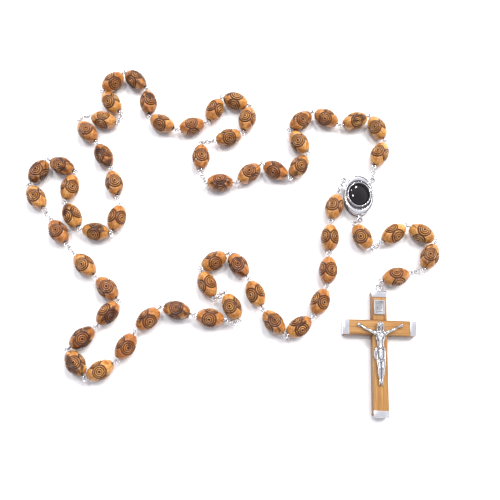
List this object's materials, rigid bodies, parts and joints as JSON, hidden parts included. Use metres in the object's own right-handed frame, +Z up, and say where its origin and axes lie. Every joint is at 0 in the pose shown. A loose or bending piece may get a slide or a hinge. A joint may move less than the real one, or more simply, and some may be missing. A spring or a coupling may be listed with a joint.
{
  "type": "rosary",
  "caption": "Rosary of carved wooden beads on silver eye pins and chain links, with an oval centrepiece set with a black stone and a wooden crucifix.",
  "frame": {"origin": "middle of the centrepiece's flat back, on the surface that the rosary lies on", "axes": "+Z up from that surface, through the centrepiece's stone; -Y from the stone towards the lug that carries the pendant and crucifix; +X to the centrepiece's right"},
  "size_m": [0.1754, 0.1524, 0.0078],
  "materials": {
    "bead_wood": "polished",
    "cross_wood": "satin",
    "silver_wire": "bright",
    "cast_silver": "antiqued",
    "black_stone": "polished"
  },
  "bodies": {
    "centrepiece": {"centrepiece_case": "cast_silver", "centrepiece_lid": "cast_silver", "centrepiece_bezel": "cast_silver", "centrepiece_stone": "black_stone"},
    "decade_1a": {"decade_1a_beads": "bead_wood", "decade_1a_pins": "silver_wire"},
    "decade_1b": {"decade_1b_beads": "bead_wood", "decade_1b_pins": "silver_wire"},
    "decade_1c": {"decade_1c_beads": "bead_wood", "decade_1c_pins": "silver_wire"},
    "divider_1": {"divider_pin_1": "silver_wire"},
    "divider_bead_1": {"divider_bead_1": "bead_wood"},
    "decade_2a": {"decade_2a_beads": "bead_wood", "decade_2a_pins": "silver_wire"},
    "decade_2b": {"decade_2b_beads": "bead_wood", "decade_2b_pins": "silver_wire"},
    "decade_2c": {"decade_2c_beads": "bead_wood", "decade_2c_pins": "silver_wire"},
    "divider_2": {"divider_pin_2": "silver_wire"},
    "divider_bead_2": {"divider_bead_2": "bead_wood"},
    "decade_3a": {"decade_3a_beads": "bead_wood", "decade_3a_pins": "silver_wire"},
    "decade_5c": {"decade_5c_beads": "bead_wood", "decade_5c_pins": "silver_wire"},
    "decade_5b": {"decade_5b_beads": "bead_wood", "decade_5b_pins": "silver_wire"},
    "decade_5a": {"decade_5a_beads": "bead_wood", "decade_5a_pins": "silver_wire"},
    "divider_4": {"divider_pin_4": "silver_wire"},
    "divider_bead_4": {"divider_bead_4": "bead_wood"},
    "decade_4c": {"decade_4c_beads": "bead_wood", "decade_4c_pins": "silver_wire"},
    "decade_4b": {"decade_4b_beads": "bead_wood", "decade_4b_pins": "silver_wire"},
    "decade_4a": {"decade_4a_beads": "bead_wood", "decade_4a_pins": "silver_wire"},
    "divider_3": {"divider_pin_3": "silver_wire"},
    "divider_bead_3": {"divider_bead_3": "bead_wood"},
    "decade_3c": {"decade_3c_beads": "bead_wood", "decade_3c_pins": "silver_wire"},
    "decade_3b": {"decade_3b_beads": "bead_wood", "decade_3b_pins": "silver_wire"},
    "pendant_1": {"pendant_pin_1": "silver_wire"},
    "pendant_bead_1": {"pendant_bead_1": "bead_wood"},
    "pendant_2": {"pendant_pin_2": "silver_wire"},
    "pendant_bead_2": {"pendant_bead_2": "bead_wood"},
    "pendant_3": {"pendant_pin_3": "silver_wire"},
    "pendant_bead_3": {"pendant_bead_3": "bead_wood"},
    "pendant_4": {"pendant_pin_4": "silver_wire"},
    "pendant_bead_4": {"pendant_bead_4": "bead_wood"},
    "pendant_5": {"pendant_pin_5": "silver_wire"},
    "pendant_bead_5": {"pendant_bead_5": "bead_wood"},
    "crucifix_ring": {"crucifix_jump_ring": "silver_wire"},
    "crucifix": {"crucifix_eye": "silver_wire", "crucifix_upright": "cross_wood", "crucifix_arm": "cross_wood", "crucifix_end_caps": "cast_silver", "title_plate": "cast_silver", "corpus": "cast_silver", "crucifix_nails": "silver_wire"}
  },
  "joints": [
    {"name": "decade_1a_lift", "type": "hinge", "parent": "centrepiece", "child": "decade_1a", "pos_m": [0.00646, 0.00848, 0.0039], "axis": [0.9848, -0.1736, 0], "range_deg": [0, 40]},
    {"name": "decade_1b_lift", "type": "hinge", "parent": "decade_1a", "child": "decade_1b", "pos_m": [-0.00691, 0.03337, 0.0039], "axis": [0.5, 0.866, 0], "range_deg": [0, 40]},
    {"name": "decade_1c_lift", "type": "hinge", "parent": "decade_1b", "child": "decade_1c", "pos_m": [-0.02976, 0.00843, 0.0039], "axis": [0.5, 0.866, 0], "range_deg": [0, 30]},
    {"name": "divider_1_lift", "type": "hinge", "parent": "decade_1c", "child": "divider_1", "pos_m": [-0.06619, 0.00679, 0.0039], "axis": [0.9397, 0.342, 0], "range_deg": [0, 35]},
    {"name": "divider_bead_1_spin", "type": "hinge", "parent": "divider_1", "child": "divider_bead_1", "pos_m": [-0.06783, 0.0179, 0.0039], "axis": [0, 1, 0], "continuous": true},
    {"name": "decade_2a_lift", "type": "hinge", "parent": "divider_1", "child": "decade_2a", "pos_m": [-0.0631, 0.02533, 0.0039], "axis": [0.1736, -0.9848, 0], "range_deg": [0, 35]},
    {"name": "decade_2b_lift", "type": "hinge", "parent": "decade_2a", "child": "decade_2b", "pos_m": [-0.05944, 0.04647, 0.0039], "axis": [-0.9063, 0.4226, 0], "range_deg": [0, 30]},
    {"name": "decade_2c_lift", "type": "hinge", "parent": "decade_2b", "child": "decade_2c", "pos_m": [-0.09306, 0.05126, 0.0039], "axis": [0.6428, 0.766, 0], "range_deg": [0, 40]},
    {"name": "divider_2_lift", "type": "hinge", "parent": "decade_2c", "child": "divider_2", "pos_m": [-0.10393, 0.03834, 0.0039], "axis": [-0.9848, -0.1736, 0], "range_deg": [0, 20]},
    {"name": "divider_bead_2_spin", "type": "hinge", "parent": "divider_2", "child": "divider_bead_2", "pos_m": [-0.11126, 0.03564, 0.0039], "axis": [-0.9659, 0.2588, 0], "continuous": true},
    {"name": "decade_3a_lift", "type": "hinge", "parent": "divider_2", "child": "decade_3a", "pos_m": [-0.12183, 0.03563, 0.0039], "axis": [-0.766, 0.6428, 0], "range_deg": [0, 25]},
    {"name": "decade_5c_lift", "type": "hinge", "parent": "centrepiece", "child": "decade_5c", "pos_m": [-0.00683, 0.00564, 0.0039], "axis": [-0.9063, 0.4226, 0], "range_deg": [0, 35]},
    {"name": "decade_5b_lift", "type": "hinge", "parent": "decade_5c", "child": "decade_5b", "pos_m": [-0.01502, -0.03999, 0.0039], "axis": [-0.9063, 0.4226, 0], "range_deg": [0, 45]},
    {"name": "decade_5a_lift", "type": "hinge", "parent": "decade_5b", "child": "decade_5a", "pos_m": [-0.04744, -0.03591, 0.0039], "axis": [0.8192, 0.5736, 0], "range_deg": [0, 35]},
    {"name": "divider_4_lift", "type": "hinge", "parent": "decade_5a", "child": "divider_4", "pos_m": [-0.06049, -0.04445, 0.0039], "axis": [0.4226, -0.9063, 0], "range_deg": [0, 45]},
    {"name": "divider_bead_4_spin", "type": "hinge", "parent": "divider_4", "child": "divider_bead_4", "pos_m": [-0.0538, -0.04799, 0.0039], "axis": [0.4226, -0.9063, 0], "continuous": true},
    {"name": "decade_4c_lift", "type": "hinge", "parent": "divider_4", "child": "decade_4c", "pos_m": [-0.05536, -0.05405, 0.0039], "axis": [0.5, 0.866, 0], "range_deg": [0, 50]},
    {"name": "decade_4b_lift", "type": "hinge", "parent": "decade_4c", "child": "decade_4b", "pos_m": [-0.09288, -0.05832, 0.0039], "axis": [-0.866, 0.5, 0], "range_deg": [0, 35]},
    {"name": "decade_4a_lift", "type": "hinge", "parent": "decade_4b", "child": "decade_4a", "pos_m": [-0.10839, -0.05568, 0.0039], "axis": [0.766, -0.6428, 0], "range_deg": [0, 25]},
    {"name": "divider_3_lift", "type": "hinge", "parent": "decade_4a", "child": "divider_3", "pos_m": [-0.12022, -0.02515, 0.0039], "axis": [0.766, 0.6428, 0], "range_deg": [0, 20]},
    {"name": "divider_bead_3_spin", "type": "hinge", "parent": "divider_3", "child": "divider_bead_3", "pos_m": [-0.12709, -0.01607, 0.0039], "axis": [-0.5736, 0.8192, 0], "continuous": true},
    {"name": "decade_3c_lift", "type": "hinge", "parent": "divider_3", "child": "decade_3c", "pos_m": [-0.13363, -0.00673, 0.0039], "axis": [0.8192, 0.5736, 0], "range_deg": [0, 25]},
    {"name": "decade_3b_lift", "type": "hinge", "parent": "decade_3c", "child": "decade_3b", "pos_m": [-0.12218, 0.01017, 0.0039], "axis": [-0.9659, 0.2588, 0], "range_deg": [0, 45]},
    {"name": "pendant_1_lift", "type": "hinge", "parent": "centrepiece", "child": "pendant_1", "pos_m": [-0.0013, -0.01175, 0.0039], "axis": [-0.5, 0.866, 0], "range_deg": [0, 30]},
    {"name": "pendant_bead_1_spin", "type": "hinge", "parent": "pendant_1", "child": "pendant_bead_1", "pos_m": [0.0007, -0.01822, 0.0039], "axis": [0.5, -0.866, 0], "continuous": true},
    {"name": "pendant_2_lift", "type": "hinge", "parent": "pendant_1", "child": "pendant_2", "pos_m": [0.00466, -0.02347, 0.0039], "axis": [0.5736, -0.8192, 0], "range_deg": [0, 20]},
    {"name": "pendant_bead_2_spin", "type": "hinge", "parent": "pendant_2", "child": "pendant_bead_2", "pos_m": [0.014, -0.01693, 0.0039], "axis": [0.8192, 0.5736, 0], "continuous": true},
    {"name": "pendant_3_lift", "type": "hinge", "parent": "pendant_2", "child": "pendant_3", "pos_m": [0.02009, -0.01355, 0.0039], "axis": [-0.5, -0.866, 0], "range_deg": [0, 35]},
    {"name": "pendant_bead_3_spin", "type": "hinge", "parent": "pendant_3", "child": "pendant_bead_3", "pos_m": [0.02581, -0.01685, 0.0039], "axis": [0.866, -0.5, 0], "continuous": true},
    {"name": "pendant_4_lift", "type": "hinge", "parent": "pendant_3", "child": "pendant_4", "pos_m": [0.03119, -0.02087, 0.0039], "axis": [-0.9063, 0.4226, 0], "range_deg": [0, 40]},
    {"name": "pendant_bead_4_spin", "type": "hinge", "parent": "pendant_4", "child": "pendant_bead_4", "pos_m": [0.0284, -0.02685, 0.0039], "axis": [-0.4226, -0.9063, 0], "continuous": true},
    {"name": "pendant_5_lift", "type": "hinge", "parent": "pendant_4", "child": "pendant_5", "pos_m": [0.02482, -0.03298, 0.0039], "axis": [-0.1736, 0.9848, 0], "range_deg": [0, 45]},
    {"name": "pendant_bead_5_spin", "type": "hinge", "parent": "pendant_5", "child": "pendant_bead_5", "pos_m": [0.01372, -0.03552, 0.0039], "axis": [-0.9659, -0.2588, 0], "continuous": true},
    {"name": "crucifix_ring_yaw", "type": "hinge", "parent": "pendant_5", "child": "crucifix_ring", "pos_m": [0.00734, -0.03723, 0.0039], "axis": [0, 0, 1], "range_deg": [-10, 30]},
    {"name": "crucifix_lift", "type": "hinge", "parent": "crucifix_ring", "child": "crucifix", "pos_m": [0.00683, -0.03864, 0.0039], "axis": [-0.9397, 0.342, 0], "range_deg": [0, 25]}
  ]
}
